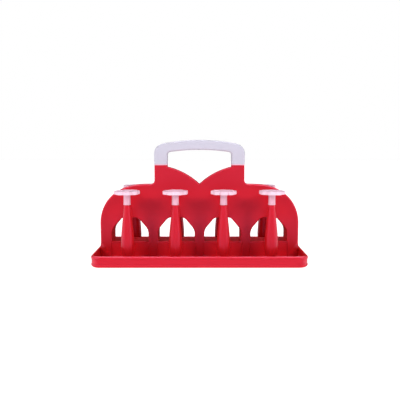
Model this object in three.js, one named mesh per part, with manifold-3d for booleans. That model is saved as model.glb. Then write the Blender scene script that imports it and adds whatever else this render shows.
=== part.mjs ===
// Two-sided peg stand for upturned glassware: a drip tray, a hollow centre panel with
// windows, eight pegs with turning flower caps, and a push-in carrying handle.
// Millimetres. X runs along the stand, -Y is the front, Z is up from the table.

import * as THREE from 'three';
import { mergeVertices } from 'three/addons/utils/BufferGeometryUtils.js';
import Module from 'manifold-3d';

const wasm = await Module();
wasm.setup();

// ---------------------------------------------------------------- driving dimensions

const GAP = 0.3; // clearance between pieces that touch

const TRAY = {
  length: 382,
  depth: 194,
  corner: 18,
  skirtBottom: 0.8,
  floorUnder: 2.5,
  floorTop: 5,
  lipBottom: 16,
  top: 21.3,
  bandInset: 0.8, // outer wall stands this far inside the lip
  wallInset: 6, // inner wall, measured from the lip
};

const PEG = {
  pitch: 86,
  rowOffset: 57, // each row's distance from the panel's mid-plane
  padRadius: 13,
  padTop: 8,
  shoulder: 106.6, // the cap's stem rests here
  spigotRadius: 3.6,
  spigotTop: 121.6,
  screwPostRadius: 5, // stands inside the cored foot
  coredTo: 36,
  boreTop: 34,
  screwTip: 30,
  sides: 12,
};

const CAP = {
  stemRadius: 6.3,
  boreRadius: 4.2,
  boreTop: 122.6,
  discBottom: 126.1,
  discTop: 132,
  petals: 8,
  petalReach: 23,
  petalDepth: 2.6,
};
// How far each flower has been turned on its peg, in degrees, left to right.
const FRONT_CAP_TURNS = [10, 20, 0, 30];
const REAR_CAP_TURNS = [22.5, 35, 15, 22.5];

const PANEL = {
  halfLength: 184.3,
  baseHalfDepth: 22.5,
  topHalfDepth: 10,
  taperStart: 80,
  shoulder: 139.3,
  shoulderEnd: 100, // where the big side curve meets the flat shoulder
  curveStart: 67,
  curvePullUp: 42.5,
  curvePullOut: 56,
  neck: 84,
  neckFillet: 8,
  stubInner: 59.7,
  stubTop: 174.8,
  veeTop: 171.8,
  veeBottom: 139.7,
  veeBulge: 4.4,
  wall: 2.4,
};

const WINDOW = {
  halfWidth: 34,
  sill: 33.4,
  jambTop: 49,
  kneePull: 56.5, // the rounded knee between jamb and slope
  kneeX: 27.5,
  kneeTop: 64,
  slopeX: 18.5,
  slopeTop: 74.3,
  headPullX: 13,
  headX: 4,
  top: 78.7,
  recessHalfWidth: 35,
  recessDepth: 1.2,
};

const HANDLE = {
  halfWidth: 84.4,
  innerHalfWidth: 59.5,
  halfDepth: 10,
  crownTop: 221.7,
  crownPull: 32,
  shoulderTop: 216.4,
  shoulderX: 62,
  cornerStart: 195,
  cornerPull: { outer: 208.5, x: 75.5, z: 214.4 },
  crownUnder: 203.3,
  underPull: 28,
  cornerUnder: 198.5,
  innerCorner: 5,
  tangDepth: 26,
};

const SCREW = {
  shank: 1.75,
  headRadius: 3.6,
  headHeight: 2.2,
  point: 2,
  sides: 8,
};

const FOOT = { radius: 9, x: 156, y: 76, edge: 0.6, sides: 16 };

// Screws that come up through the tray into the panel's shells.
const PANEL_SCREW_X = [-171, 0, 171];
const PANEL_SCREW_Y = 11;
const PANEL_SCREW_TIP = 24;
const LOCATOR = { halfWidth: 4.5, halfDepth: 6.5, top: 9.5 };
// The blocks inside the shells that the panel screws bite into.
const PANEL_BOSS = { halfWidth: 5, innerY: 5, skin: 1.6 };

// Screws that join the two shells from behind: x, z and how deep they reach in front.
const SHELL_SCREWS = [
  { name: 'shell_screw_left', x: -129, z: 97, reach: 10 },
  { name: 'shell_screw_mid_left', x: -43, z: 117, reach: 7 },
  { name: 'shell_screw_mid_right', x: 43, z: 117, reach: 7 },
  { name: 'shell_screw_right', x: 129, z: 97, reach: 10 },
];
const SHELL_BOSS_RADIUS = 5.6;
const HANDLE_SCREW = { x: 72, z: 161.5, tip: -3 };

// ---------------------------------------------------------------- materials

function plastic(color, roughness) {
  return new THREE.MeshStandardMaterial({ color, roughness, metalness: 0 });
}

const redPlastic = plastic(0xd4243f, 0.32);
const whitePlastic = plastic(0xe9e4f0, 0.38);
const pinkPlastic = plastic(0xf3d3e0, 0.4);
const rubber = plastic(0x3a3a3c, 0.85);
const steel = new THREE.MeshStandardMaterial({ color: 0xb9bcc0, roughness: 0.35, metalness: 1 });

// ---------------------------------------------------------------- solids

const X_AXIS = new THREE.Vector3(1, 0, 0);
const Y_AXIS = new THREE.Vector3(0, 1, 0);
const Z_AXIS = new THREE.Vector3(0, 0, 1);
const FINE_SIDES = 12;
const HOLE_SIDES = 8;

function toSolid(geometry) {
  const bare = geometry.clone();
  bare.deleteAttribute('normal');
  bare.deleteAttribute('uv');
  const merged = mergeVertices(bare, 1e-4);
  return new wasm.Manifold(new wasm.Mesh({
    numProp: 3,
    vertProperties: new Float32Array(merged.attributes.position.array),
    triVerts: new Uint32Array(merged.index.array),
  }));
}

function toGeometry(solid) {
  const mesh = solid.getMesh();
  const geometry = new THREE.BufferGeometry();
  geometry.setAttribute('position', new THREE.BufferAttribute(mesh.vertProperties, 3));
  geometry.setIndex(new THREE.BufferAttribute(mesh.triVerts, 1));
  return geometry;
}

function box(x0, x1, y0, y1, z0, z1) {
  const geometry = new THREE.BoxGeometry(x1 - x0, y1 - y0, z1 - z0);
  geometry.translate((x0 + x1) / 2, (y0 + y1) / 2, (z0 + z1) / 2);
  return toSolid(geometry);
}

// A plan outline (x, y) raised from z0 to z1.
function raise(shape, z0, z1, curveSegments = 5) {
  const geometry = new THREE.ExtrudeGeometry(shape, {
    depth: z1 - z0, bevelEnabled: false, curveSegments,
  });
  geometry.translate(0, 0, z0);
  return toSolid(geometry);
}

// A front outline (x, z) running from y0 back to y1.
function runBack(shape, y0, y1, curveSegments = 6) {
  const geometry = new THREE.ExtrudeGeometry(shape, {
    depth: y1 - y0, bevelEnabled: false, curveSegments,
  });
  geometry.applyMatrix4(new THREE.Matrix4().makeBasis(X_AXIS, Z_AXIS, Y_AXIS.clone().negate()));
  geometry.translate(0, y1, 0);
  return toSolid(geometry);
}

// A side outline (y, z) running along x from x0 to x1.
function runAlong(shape, x0, x1) {
  const geometry = new THREE.ExtrudeGeometry(shape, {
    depth: x1 - x0, bevelEnabled: false, curveSegments: 6,
  });
  geometry.applyMatrix4(new THREE.Matrix4().makeBasis(Y_AXIS, Z_AXIS, X_AXIS));
  geometry.translate(x0, 0, 0);
  return toSolid(geometry);
}

// A profile of [radius, height] pairs turned about the upright axis at x, y.
function turn(profile, sides, x = 0, y = 0) {
  const points = profile.map(([r, z]) => new THREE.Vector2(r, z));
  const geometry = new THREE.LatheGeometry(points, sides);
  geometry.rotateX(Math.PI / 2);
  geometry.translate(x, y, 0);
  return toSolid(geometry);
}

function cylinder(radius, z0, z1, x, y, sides = HOLE_SIDES) {
  return turn([[0, z0], [radius, z0], [radius, z1], [0, z1]], sides, x, y);
}

// A round bar along Y at x, z, from y0 back to y1.
function bar(radius, y0, y1, x, z, sides = HOLE_SIDES) {
  const geometry = new THREE.CylinderGeometry(radius, radius, y1 - y0, sides);
  geometry.translate(x, (y0 + y1) / 2, z);
  return toSolid(geometry);
}

function join(solids) {
  return solids.reduce((all, next) => all.add(next));
}

function cut(solid, tools) {
  return tools.reduce((rest, tool) => rest.subtract(tool), solid);
}

function closedShape(points) {
  return new THREE.Shape(points.map(([x, y]) => new THREE.Vector2(x, y)));
}

// Moves every edge of a counter-clockwise outline inwards by a distance.
function inset(points, distance) {
  const count = points.length;
  return points.map((point, i) => {
    const before = points[(i + count - 1) % count];
    const after = points[(i + 1) % count];
    const into = new THREE.Vector2(point[0] - before[0], point[1] - before[1]).normalize();
    const away = new THREE.Vector2(after[0] - point[0], after[1] - point[1]).normalize();
    const normal = new THREE.Vector2(-into.y - away.y, into.x + away.x).normalize();
    const stretch = distance / (normal.x * -into.y + normal.y * into.x);
    return [point[0] + normal.x * stretch, point[1] + normal.y * stretch];
  });
}

// A right-hand half outline, listed upwards from the base, closed with its mirror image.
function mirrored(half) {
  const left = half.filter(([x]) => x > 1e-6).map(([x, z]) => [-x, z]).reverse();
  return half.concat(left);
}

function pathPoints(path, divisions) {
  const points = path.getPoints(divisions).map((p) => [p.x, p.y]);
  return points.filter((p, i) => i === 0 || Math.hypot(p[0] - points[i - 1][0], p[1] - points[i - 1][1]) > 1e-3);
}

// ---------------------------------------------------------------- places

function rowX(index) {
  return (index - 1.5) * PEG.pitch;
}

function pegPlaces() {
  const places = [];
  for (const [row, side, turns] of [['front', -1, FRONT_CAP_TURNS], ['rear', 1, REAR_CAP_TURNS]]) {
    for (let i = 0; i < 4; i += 1) {
      places.push({ label: `${row}_${i + 1}`, x: rowX(i), y: side * PEG.rowOffset, turn: turns[i] });
    }
  }
  return places;
}

function panelScrewPlaces() {
  const places = [];
  for (const [side, sign] of [['front', -1], ['rear', 1]]) {
    PANEL_SCREW_X.forEach((x, i) => {
      places.push({ label: `${side}_${i + 1}`, x, y: sign * PANEL_SCREW_Y });
    });
  }
  return places;
}

// ---------------------------------------------------------------- drip tray

function trayOutline(insetBy) {
  const halfX = TRAY.length / 2 - insetBy;
  const halfY = TRAY.depth / 2 - insetBy;
  const r = TRAY.corner - insetBy;
  const shape = new THREE.Shape();
  shape.moveTo(halfX, halfY - r);
  shape.absarc(halfX - r, halfY - r, r, 0, Math.PI / 2);
  shape.absarc(r - halfX, halfY - r, r, Math.PI / 2, Math.PI);
  shape.absarc(r - halfX, r - halfY, r, Math.PI, Math.PI * 1.5);
  shape.absarc(halfX - r, r - halfY, r, Math.PI * 1.5, Math.PI * 2);
  return shape;
}

function dripTray() {
  const solid = join([
    raise(trayOutline(0), TRAY.lipBottom, TRAY.top),
    raise(trayOutline(TRAY.bandInset), TRAY.skirtBottom, TRAY.lipBottom + 1),
  ]);
  const hollow = raise(trayOutline(TRAY.wallInset), TRAY.floorTop, TRAY.top + 1);
  const underside = raise(trayOutline(TRAY.wallInset), 0, TRAY.floorUnder);
  let tray = cut(solid, [hollow, underside]);

  for (const place of pegPlaces()) {
    tray = tray.add(cylinder(PEG.padRadius, TRAY.floorUnder + 1, PEG.padTop, place.x, place.y, FINE_SIDES));
    tray = cut(tray, [
      cylinder(SCREW.headRadius + 1.4, 0, headSeat(PEG.padTop), place.x, place.y),
      cylinder(SCREW.shank + GAP, 0, PEG.padTop + 1, place.x, place.y),
    ]);
  }
  for (const place of panelScrewPlaces()) {
    tray = tray.add(box(
      place.x - LOCATOR.halfWidth, place.x + LOCATOR.halfWidth,
      place.y - LOCATOR.halfDepth, place.y + LOCATOR.halfDepth,
      TRAY.floorUnder + 1, LOCATOR.top,
    ));
    tray = cut(tray, [
      cylinder(SCREW.headRadius + 0.6, 0, headSeat(LOCATOR.top), place.x, place.y),
      cylinder(SCREW.shank + GAP, 0, LOCATOR.top + 1, place.x, place.y),
    ]);
  }
  return tray;
}

// The underside of a boss's top plate, where a screw's head bears.
function headSeat(bossTop) {
  return bossTop - 2.6;
}

// ---------------------------------------------------------------- centre panel

function panelHalfOutline() {
  const path = new THREE.Path();
  path.moveTo(PANEL.halfLength, TRAY.floorTop + GAP);
  path.lineTo(PANEL.halfLength, PANEL.curveStart);
  path.bezierCurveTo(
    PANEL.halfLength, PANEL.curveStart + PANEL.curvePullUp,
    PANEL.shoulderEnd + PANEL.curvePullOut, PANEL.shoulder,
    PANEL.shoulderEnd, PANEL.shoulder,
  );
  path.lineTo(PANEL.neck + PANEL.neckFillet, PANEL.shoulder);
  path.absarc(
    PANEL.neck + PANEL.neckFillet, PANEL.shoulder + PANEL.neckFillet, PANEL.neckFillet,
    -Math.PI / 2, -Math.PI, true,
  );
  path.lineTo(PANEL.neck, PANEL.stubTop);
  path.lineTo(PANEL.stubInner, PANEL.stubTop);
  path.lineTo(PANEL.stubInner, PANEL.veeTop);
  const middle = new THREE.Vector2(PANEL.stubInner / 2, (PANEL.veeTop + PANEL.veeBottom) / 2);
  const out = new THREE.Vector2(PANEL.veeBottom - PANEL.veeTop, PANEL.stubInner).normalize();
  middle.addScaledVector(out, PANEL.veeBulge * 2);
  path.quadraticCurveTo(middle.x, middle.y, 0, PANEL.veeBottom);
  return pathPoints(path, 8);
}

// The panel's thickness in side view, with every face moved inwards by a distance.
function panelSection(insetBy, base) {
  const foot = PANEL.baseHalfDepth - insetBy;
  const head = PANEL.topHalfDepth - insetBy;
  const top = PANEL.stubTop + 10;
  return closedShape([
    [-foot, base], [foot, base], [foot, PANEL.taperStart], [head, PANEL.shoulder],
    [head, top], [-head, top], [-head, PANEL.shoulder], [-foot, PANEL.taperStart],
  ]);
}

function windowOutline(grow) {
  const half = WINDOW.halfWidth + grow;
  const top = WINDOW.top + grow;
  const kneeX = WINDOW.kneeX + grow;
  const slopeX = WINDOW.slopeX + grow;
  const rise = grow * 0.4; // the slope moves up by less than the head does
  const shape = new THREE.Shape();
  shape.moveTo(-half, WINDOW.sill - grow);
  shape.lineTo(half, WINDOW.sill - grow);
  shape.lineTo(half, WINDOW.jambTop);
  shape.quadraticCurveTo(half, WINDOW.kneePull + rise, kneeX, WINDOW.kneeTop + rise);
  shape.lineTo(slopeX, WINDOW.slopeTop + rise);
  shape.quadraticCurveTo(WINDOW.headPullX, top, WINDOW.headX, top);
  shape.lineTo(-WINDOW.headX, top);
  shape.quadraticCurveTo(-WINDOW.headPullX, top, -slopeX, WINDOW.slopeTop + rise);
  shape.lineTo(-kneeX, WINDOW.kneeTop + rise);
  shape.quadraticCurveTo(-half, WINDOW.kneePull + rise, -half, WINDOW.jambTop);
  return shape;
}

function windows(grow) {
  const reach = PANEL.baseHalfDepth + 5;
  const solids = [];
  for (let i = 0; i < 4; i += 1) {
    solids.push(runBack(windowOutline(grow), -reach, reach, 3).translate([rowX(i), 0, 0]));
  }
  return solids;
}

// The panel's ends step over the tray's end walls: what is cut away there, grown by a wall.
function endSteps(grow) {
  const inside = TRAY.length / 2 - TRAY.wallInset - GAP - grow;
  const over = TRAY.top + GAP + grow;
  const far = PANEL.halfLength + 5;
  const deep = PANEL.baseHalfDepth + 5;
  return [box(inside, far, -deep, deep, -1, over), box(-far, -inside, -deep, deep, -1, over)];
}

function panelWalls() {
  const outline = mirrored(panelHalfOutline());
  const length = PANEL.halfLength + 5;
  const deep = PANEL.baseHalfDepth + 5;
  const outer = cut(
    runBack(closedShape(outline), -deep, deep)
      .intersect(runAlong(panelSection(0, 0), -length, length)),
    endSteps(0),
  );
  const inner = runBack(closedShape(inset(outline, PANEL.wall)), -deep, deep)
    .intersect(runAlong(panelSection(PANEL.wall, 0), -length, length));
  const bottomOpening = box(
    PANEL.wall - PANEL.halfLength, PANEL.halfLength - PANEL.wall,
    PANEL.wall - PANEL.baseHalfDepth, PANEL.baseHalfDepth - PANEL.wall,
    0, TRAY.floorTop + GAP + PANEL.wall + 1,
  );
  const cavity = cut(inner.add(bottomOpening), [...windows(PANEL.wall), ...endSteps(PANEL.wall)]);
  let walls = cut(outer, windows(0));
  walls = walls.subtract(cavity);

  for (let i = 0; i < 4; i += 1) {
    for (const side of [-1, 1]) {
      const face = side * PANEL.baseHalfDepth;
      const cuts = [face - side * WINDOW.recessDepth, face + side * 2].sort((a, b) => a - b);
      walls = walls.subtract(box(
        rowX(i) - WINDOW.recessHalfWidth, rowX(i) + WINDOW.recessHalfWidth,
        cuts[0], cuts[1], 0, WINDOW.sill + 0.01,
      ));
    }
  }
  for (const side of [-1, 1]) {
    const outerX = PANEL.neck - PANEL.wall;
    const innerX = PANEL.stubInner + PANEL.wall;
    const [x0, x1] = side > 0 ? [innerX, outerX] : [-outerX, -innerX];
    const halfDepth = PANEL.topHalfDepth - PANEL.wall;
    walls = walls.subtract(box(x0, x1, -halfDepth, halfDepth, PANEL.stubTop - 8, PANEL.stubTop + 5));
  }
  return walls;
}

function halfDepthAt(z) {
  const t = (z - PANEL.taperStart) / (PANEL.shoulder - PANEL.taperStart);
  return THREE.MathUtils.lerp(PANEL.baseHalfDepth, PANEL.topHalfDepth, THREE.MathUtils.clamp(t, 0, 1));
}

function shell(side) {
  const bosses = [];
  const holes = [];
  for (const x of PANEL_SCREW_X) {
    const ys = [side * PANEL_BOSS.innerY, side * (PANEL.baseHalfDepth - PANEL_BOSS.skin)]
      .sort((a, b) => a - b);
    bosses.push(box(
      x - PANEL_BOSS.halfWidth, x + PANEL_BOSS.halfWidth, ys[0], ys[1],
      LOCATOR.top + GAP, WINDOW.sill - 1,
    ));
    holes.push(cylinder(SCREW.shank + GAP, LOCATOR.top - 1, WINDOW.sill - 3, x, side * PANEL_SCREW_Y));
  }
  for (const screw of SHELL_SCREWS) {
    const face = halfDepthAt(screw.z);
    const ys = [side * 0.15, side * (face - 0.8)].sort((a, b) => a - b);
    bosses.push(bar(SHELL_BOSS_RADIUS, ys[0], ys[1], screw.x, screw.z, FINE_SIDES));
    holes.push(bar(SCREW.shank + GAP, -screw.reach - 1, side > 0 ? face + 5 : 1, screw.x, screw.z));
    if (side > 0) {
      holes.push(bar(SCREW.headRadius + 0.5, shellHeadSeat(screw), face + 5, screw.x, screw.z, FINE_SIDES));
    }
  }
  if (side > 0) {
    for (const sign of [-1, 1]) {
      holes.push(bar(SCREW.shank + GAP, 0, PANEL.topHalfDepth + 5, sign * HANDLE_SCREW.x, HANDLE_SCREW.z));
    }
  }
  const reach = PANEL.halfLength + 5;
  const ys = side > 0 ? [GAP / 2, 40] : [-40, -GAP / 2];
  const half = box(-reach, reach, ys[0], ys[1], 0, PANEL.stubTop + 5);
  return cut(join([panelWalls(), ...bosses]), holes).intersect(half);
}

// Where the head of a shell screw bears, measured from the mid-plane.
function shellHeadSeat(screw) {
  return halfDepthAt(screw.z) - 4.5;
}

// ---------------------------------------------------------------- handle

function handleOutline() {
  const shape = new THREE.Shape();
  const base = PANEL.stubTop + GAP;
  const outer = HANDLE.halfWidth;
  const inner = HANDLE.innerHalfWidth;
  const pull = HANDLE.cornerPull;
  const corner = HANDLE.innerCorner;
  const lowUnder = HANDLE.cornerUnder + 0.5;
  shape.moveTo(inner, base);
  shape.lineTo(outer, base);
  shape.lineTo(outer, HANDLE.cornerStart);
  shape.bezierCurveTo(outer, pull.outer, pull.x, pull.z, HANDLE.shoulderX, HANDLE.shoulderTop);
  shape.quadraticCurveTo(HANDLE.crownPull, HANDLE.crownTop, 0, HANDLE.crownTop);
  shape.quadraticCurveTo(-HANDLE.crownPull, HANDLE.crownTop, -HANDLE.shoulderX, HANDLE.shoulderTop);
  shape.bezierCurveTo(-pull.x, pull.z, -outer, pull.outer, -outer, HANDLE.cornerStart);
  shape.lineTo(-outer, base);
  shape.lineTo(-inner, base);
  shape.lineTo(-inner, HANDLE.cornerUnder - corner);
  shape.quadraticCurveTo(-inner, HANDLE.cornerUnder, corner - inner, lowUnder);
  shape.quadraticCurveTo(-HANDLE.underPull, HANDLE.crownUnder, 0, HANDLE.crownUnder);
  shape.quadraticCurveTo(HANDLE.underPull, HANDLE.crownUnder, inner - corner, lowUnder);
  shape.quadraticCurveTo(inner, HANDLE.cornerUnder, inner, HANDLE.cornerUnder - corner);
  return shape;
}

function handle() {
  const grip = runBack(handleOutline(), -HANDLE.halfDepth, HANDLE.halfDepth, 6);
  const tangHalfDepth = PANEL.topHalfDepth - PANEL.wall - GAP;
  const tangs = [];
  const bores = [];
  for (const side of [-1, 1]) {
    const xs = [PANEL.stubInner + PANEL.wall + GAP, PANEL.neck - PANEL.wall - GAP]
      .map((x) => side * x)
      .sort((a, b) => a - b);
    tangs.push(box(
      xs[0], xs[1], -tangHalfDepth, tangHalfDepth,
      PANEL.stubTop - HANDLE.tangDepth, PANEL.stubTop + 2,
    ));
    bores.push(bar(SCREW.shank + GAP, HANDLE_SCREW.tip - 1, 9, side * HANDLE_SCREW.x, HANDLE_SCREW.z));
  }
  return cut(join([grip, ...tangs]), bores);
}

// ---------------------------------------------------------------- pegs and caps

// Radius of a peg's bowling-pin outside at a height.
const PEG_OUTSIDE = [
  [8.4, PEG.padTop + GAP], [9.2, 12], [11.4, 22], [12.2, 33],
  [11.2, 60], [9.9, 74.3], [6.4, 101.5], [5.6, PEG.shoulder],
];

function peg(place) {
  const boreRadius = SCREW.shank + GAP;
  const base = PEG.padTop + GAP;
  return turn([
    [0, PEG.boreTop], [boreRadius, PEG.boreTop], [boreRadius, base], [PEG.screwPostRadius, base],
    [PEG.screwPostRadius, PEG.coredTo], [9.9, PEG.coredTo], [9.4, 20], [6.4, base],
    ...PEG_OUTSIDE,
    [PEG.spigotRadius, PEG.shoulder], [PEG.spigotRadius, PEG.spigotTop - 1],
    [PEG.spigotRadius - 1, PEG.spigotTop], [0, PEG.spigotTop],
  ], PEG.sides, place.x, place.y);
}

function flowerOutline() {
  const points = [];
  const steps = CAP.petals * 5;
  for (let i = 0; i < steps; i += 1) {
    const angle = (i / steps) * Math.PI * 2;
    const lobe = Math.sqrt(Math.abs(Math.cos((angle * CAP.petals) / 2)));
    const radius = CAP.petalReach - CAP.petalDepth * (1 - lobe);
    points.push([radius * Math.cos(angle), radius * Math.sin(angle)]);
  }
  return closedShape(points);
}

function flowerCap(place) {
  const stem = turn([
    [0, PEG.shoulder + GAP], [CAP.stemRadius, PEG.shoulder + GAP],
    [CAP.stemRadius - 0.3, CAP.discBottom + 1], [0, CAP.discBottom + 1],
  ], FINE_SIDES);
  const bore = cylinder(CAP.boreRadius, PEG.shoulder - 1, CAP.boreTop, 0, 0, FINE_SIDES);
  return raise(flowerOutline(), CAP.discBottom, CAP.discTop)
    .add(stem)
    .subtract(bore)
    .rotate([0, 0, place.turn])
    .translate([place.x, place.y, 0]);
}

// ---------------------------------------------------------------- small pieces

// A pan-head screw whose head bears at the origin, with its shank along +Z.
function screw(length) {
  return turn([
    [0, -SCREW.headHeight], [SCREW.headRadius - 1, -SCREW.headHeight],
    [SCREW.headRadius, -SCREW.headHeight + 1], [SCREW.headRadius, 0],
    [SCREW.shank, 0], [SCREW.shank, length - SCREW.point], [0, length],
  ], SCREW.sides);
}

function screwUp(x, y, seat, tip) {
  return screw(tip - seat).translate([x, y, seat - GAP]);
}

// A screw driven forwards from behind, along -Y.
function screwForward(x, z, seat, tip) {
  return screw(seat - tip).rotate([90, 0, 0]).translate([x, seat + GAP, z]);
}

function foot(x, y) {
  return turn([
    [0, 0], [FOOT.radius - FOOT.edge, 0], [FOOT.radius, FOOT.edge],
    [FOOT.radius, TRAY.floorUnder - GAP], [0, TRAY.floorUnder - GAP],
  ], FOOT.sides, x, y);
}

// ---------------------------------------------------------------- assembly

const stand = new THREE.Group();

function addPiece(name, solid, material) {
  const mesh = new THREE.Mesh(toGeometry(solid), material);
  mesh.name = name;
  stand.add(mesh);
}

addPiece('drip_tray', dripTray(), redPlastic);
addPiece('front_shell', shell(-1), redPlastic);
addPiece('rear_shell', shell(1), redPlastic);
addPiece('carrying_handle', handle(), whitePlastic);

for (const spot of pegPlaces()) {
  addPiece(`peg_${spot.label}`, peg(spot), redPlastic);
  addPiece(`flower_cap_${spot.label}`, flowerCap(spot), pinkPlastic);
  addPiece(`peg_screw_${spot.label}`, screwUp(spot.x, spot.y, headSeat(PEG.padTop), PEG.screwTip), steel);
}
for (const spot of panelScrewPlaces()) {
  addPiece(`panel_screw_${spot.label}`, screwUp(spot.x, spot.y, headSeat(LOCATOR.top), PANEL_SCREW_TIP), steel);
}
for (const item of SHELL_SCREWS) {
  addPiece(item.name, screwForward(item.x, item.z, shellHeadSeat(item), -item.reach), steel);
}
for (const [side, sign] of [['left', -1], ['right', 1]]) {
  const solid = screwForward(sign * HANDLE_SCREW.x, HANDLE_SCREW.z, PANEL.topHalfDepth, HANDLE_SCREW.tip);
  addPiece(`handle_screw_${side}`, solid, steel);
  for (const [end, depthSign] of [['front', -1], ['rear', 1]]) {
    addPiece(`foot_${end}_${side}`, foot(sign * FOOT.x, depthSign * FOOT.y), rubber);
  }
}

export default stand;
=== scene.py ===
"""A two-sided glassware peg rack in moulded plastic, laid out as a Blender add-on."""

import math

import bmesh
import bpy
from bpy.props import FloatProperty, FloatVectorProperty, IntProperty, PointerProperty
from mathutils import Matrix, Vector
from mathutils.geometry import interpolate_bezier


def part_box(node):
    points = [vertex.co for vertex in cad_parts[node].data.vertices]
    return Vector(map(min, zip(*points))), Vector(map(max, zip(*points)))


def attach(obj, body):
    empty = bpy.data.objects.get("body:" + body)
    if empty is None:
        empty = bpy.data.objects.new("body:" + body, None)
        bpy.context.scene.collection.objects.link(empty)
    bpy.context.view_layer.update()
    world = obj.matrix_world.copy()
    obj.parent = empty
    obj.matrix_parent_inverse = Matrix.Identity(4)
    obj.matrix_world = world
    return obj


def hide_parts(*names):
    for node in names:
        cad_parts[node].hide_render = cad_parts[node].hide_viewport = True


bl_info = {
    "name": "Glassware Peg Rack",
    "version": (1, 0, 0),
    "blender": (4, 5, 0),
    "location": "View3D > Sidebar > Peg Rack",
    "description": "Builds a drip tray, arched panel, pegs, flower caps and handle",
    "category": "Add Mesh",
}

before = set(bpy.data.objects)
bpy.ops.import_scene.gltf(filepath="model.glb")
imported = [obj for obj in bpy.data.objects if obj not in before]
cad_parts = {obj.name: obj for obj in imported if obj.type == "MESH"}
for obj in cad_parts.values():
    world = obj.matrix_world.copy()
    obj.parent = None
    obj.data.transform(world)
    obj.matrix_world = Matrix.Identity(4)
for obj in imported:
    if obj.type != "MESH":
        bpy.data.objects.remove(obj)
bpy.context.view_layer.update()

MM = 0.001
ROWS = ("front", "rear")
COLUMNS = (1, 2, 3, 4)
SIDES = {"left": -1, "right": 1}
SHELL_SCREWS = [f"shell_screw_{place}" for place in ("left", "mid_left", "mid_right", "right")]
PANEL_SCREWS = [f"panel_screw_{row}_{index}" for row in ROWS for index in (1, 2, 3)]
SEAM_GAP = 0.3 * MM
SMOOTH_ANGLE = math.radians(32)
CORNER_STEPS = 6
TRAY_CORNER_STEPS = 12
SCREW_SIDES = 24
HOLE_SIDES = 28
ROUND_SIDES = 40
STEM_SIDES = 48

TRAY_LOW, TRAY_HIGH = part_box("drip_tray")
SHELL_LOW, SHELL_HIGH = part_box("front_shell")
HANDLE_LOW, HANDLE_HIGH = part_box("carrying_handle")
PEG_LOW, PEG_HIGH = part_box("peg_front_1")
CAP_LOW, CAP_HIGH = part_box("flower_cap_front_3")
FOOT_LOW, FOOT_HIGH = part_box("foot_front_left")


# ---------------- sizes and colours


def length(name, description, millimetres):
    """A length property, given in millimetres and kept in metres."""
    return FloatProperty(
        name=name, description=description, default=millimetres * MM, unit="LENGTH", precision=5
    )


def count(name, description, value, low):
    """A whole number property."""
    return IntProperty(name=name, description=description, default=value, min=low)


def degrees(name, description, value):
    """An angle property, given in degrees and kept in radians."""
    return FloatProperty(
        name=name, description=description, default=math.radians(value), subtype="ANGLE"
    )


def watts(name, description, value):
    """A lamp's power property."""
    return FloatProperty(name=name, description=description, default=value, unit="POWER")


def brightness(name, description, value):
    """A brightness property."""
    return FloatProperty(name=name, description=description, default=value, min=0.0)


def colour(name, description, rgb):
    """A linear colour property."""
    return FloatVectorProperty(
        name=name, description=description, default=rgb, size=3, subtype="COLOR", min=0.0, max=1.0
    )


class TraySizes(bpy.types.PropertyGroup):
    """The drip tray's wall and floor."""

    corner: length("Corner", "Plan radius of the tray's corners, at the lip", 18)
    floor_top: length("Floor top", "Height of the tray's floor", 5)
    floor_under: length("Floor underside", "Height of the floor's underside", 2.5)
    pad_radius: length("Pad radius", "Radius of the round pad under each peg", 13)
    pad_top: length("Pad top", "Height of the pad that a peg stands on", 8)
    peg_seat: length("Peg screw seat", "Height where a peg screw's head bears", 5.4)
    panel_seat: length("Panel screw seat", "Height where a panel screw's head bears", 6.9)
    pocket_radius: length("Pocket radius", "Radius of the pocket around a screw head", 4.8)


class PanelSizes(bpy.types.PropertyGroup):
    """The centre panel's outline, windows and edges."""

    top_half_depth: length("Top half depth", "Half the thickness at the neck", 10)
    taper_start: length("Taper start", "Height where the panel begins to thin", 80)
    taper_soft: length("Taper softness", "Height over which each end of the taper eases in", 14)
    shoulder: length("Shoulder", "Height of the flat shoulders beside the neck", 139.3)
    shoulder_end: length("Shoulder end", "Half length of the flat shoulder", 100)
    curve_start: length("Curve start", "Height where the straight end turns inwards", 67)
    curve_up: length("Curve pull up", "Handle length of the end curve, upwards", 42.5)
    curve_out: length("Curve pull out", "Handle length of the end curve, outwards", 56)
    neck: length("Neck", "Half width of the neck", 84)
    neck_fillet: length("Neck fillet", "Radius between shoulder and neck", 8)
    stub_inner: length("Stub inside", "Inner edge of each handle stub", 59.7)
    vee_top: length("Vee top", "Height where the scoop between the stubs starts", 171.8)
    vee_bottom: length("Vee bottom", "Lowest point between the stubs", 139.7)
    vee_bulge: length("Vee bulge", "How far each side of the scoop bows upwards", 4.4)
    edge_round: length("Edge round", "Rounding of the panel's outer edges", 2.6)
    window_round: length("Window round", "Rounding of the window edges", 1.3)
    window_half: length("Window half width", "Half width of a window at its jambs", 34)
    sill: length("Sill", "Height of the window sill", 33.4)
    knee: length("Knee", "Height where jamb and slope would meet", 55.6)
    knee_round: length("Knee round", "Rounding between jamb and slope", 7)
    head_half: length("Head half width", "Half width where slope and head would meet", 14.6)
    head: length("Window head", "Height of the window's flat top", 78.7)
    head_round: length("Head round", "Rounding between slope and head", 5.5)
    recess_half: length("Recess half width", "Half width of the sunk face under a sill", 35.4)
    recess_top: length("Recess top", "Height of the sunk face's upper edge", 31.5)
    recess_depth: length("Recess depth", "How far the face under a sill is sunk", 1.2)


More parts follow.
